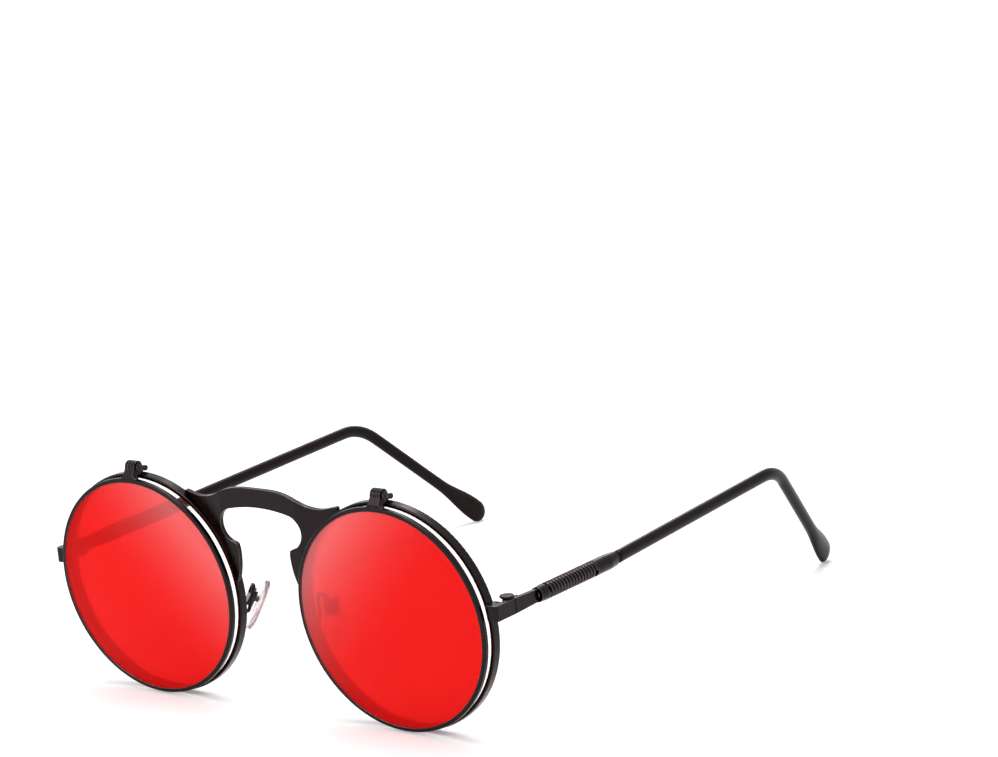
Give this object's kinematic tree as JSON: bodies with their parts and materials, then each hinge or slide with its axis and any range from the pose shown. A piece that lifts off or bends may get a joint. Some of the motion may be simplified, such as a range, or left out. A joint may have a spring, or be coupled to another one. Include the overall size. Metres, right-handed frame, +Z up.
{
  "type": "flip-up sunglasses",
  "caption": "Round metal glasses with clear lenses, red tinted lenses that flip up on top hinges, keyhole bridge, coiled temples and black ear sleeves.",
  "frame": {"origin": "on the table, midway between left and right and midway from front to back, under the open glasses as they stand on the two fixed rims and the two ear tips", "axes": "+X to the wearer's left, +Y from the front towards the ear tips, +Z up; the left side has positive X"},
  "size_m": [0.1346, 0.1476, 0.0559],
  "materials": {
    "black_metal": "gloss black lacquer on metal",
    "black_screw": "black plated screw",
    "clear_lens": "polished clear lens",
    "ear_plastic": "gloss black moulded sleeve",
    "pad_silicone": "clear moulded pad",
    "spring_wire": "gloss black wound wire",
    "tinted_lens": "polished red tinted lens"
  },
  "bodies": {
    "front": {"clear_rim_left": "black_metal", "clear_lens_left": "clear_lens", "end_piece_left": "black_metal", "lock_upper_left": "black_metal", "lock_lower_left": "black_metal", "rim_screw_left": "black_screw", "hinge_front_left": "black_metal", "hinge_screw_left": "black_screw", "flip_base_left": "black_metal", "pad_arm_left": "black_metal", "pad_screw_left": "black_screw", "clear_rim_right": "black_metal", "clear_lens_right": "clear_lens", "end_piece_right": "black_metal", "lock_upper_right": "black_metal", "lock_lower_right": "black_metal", "rim_screw_right": "black_screw", "hinge_front_right": "black_metal", "hinge_screw_right": "black_screw", "flip_base_right": "black_metal", "pad_arm_right": "black_metal", "pad_screw_right": "black_screw", "bridge_plate": "black_metal"},
    "flip_left": {"flip_rim_left": "black_metal", "tinted_lens_left": "tinted_lens", "flip_leaf_left": "black_metal", "flip_screw_left": "black_screw"},
    "flip_right": {"flip_rim_right": "black_metal", "tinted_lens_right": "tinted_lens", "flip_leaf_right": "black_metal", "flip_screw_right": "black_screw"},
    "temple_left": {"hinge_rear_left": "black_metal", "temple_bar_left": "black_metal", "front_ferrule_left": "black_metal", "temple_spring_left": "spring_wire", "rear_collar_left": "black_metal", "ear_sleeve_left": "ear_plastic"},
    "temple_right": {"hinge_rear_right": "black_metal", "temple_bar_right": "black_metal", "front_ferrule_right": "black_metal", "temple_spring_right": "spring_wire", "rear_collar_right": "black_metal", "ear_sleeve_right": "ear_plastic"},
    "pad_left": {"nose_pad_left": "pad_silicone", "pad_lug_left": "black_metal"},
    "pad_right": {"nose_pad_right": "pad_silicone", "pad_lug_right": "black_metal"}
  },
  "joints": [
    {"name": "flip_left_hinge", "type": "hinge", "parent": "front", "child": "flip_left", "pos_m": [0.03615, -0.07154, 0.05446], "axis": [-1, 0, 0], "range_deg": [0, 110]},
    {"name": "flip_right_hinge", "type": "hinge", "parent": "front", "child": "flip_right", "pos_m": [-0.03615, -0.07154, 0.05446], "axis": [-1, 0, 0], "range_deg": [0, 110]},
    {"name": "temple_left_hinge", "type": "hinge", "parent": "front", "child": "temple_left", "pos_m": [0.06295, -0.06443, 0.03046], "axis": [0, 0, 1], "range_deg": [0, 87]},
    {"name": "temple_right_hinge", "type": "hinge", "parent": "front", "child": "temple_right", "pos_m": [-0.06295, -0.06443, 0.03046], "axis": [0, 0, -1], "range_deg": [0, 71]},
    {"name": "pad_left_rock", "type": "hinge", "parent": "front", "child": "pad_left", "pos_m": [0.01173, -0.06333, 0.02377], "axis": [0.7282, 0.6838, 0.0463], "range_deg": [-10, 10]},
    {"name": "pad_right_rock", "type": "hinge", "parent": "front", "child": "pad_right", "pos_m": [-0.01173, -0.06333, 0.02377], "axis": [-0.7282, 0.6838, 0.0463], "range_deg": [-10, 10]}
  ]
}
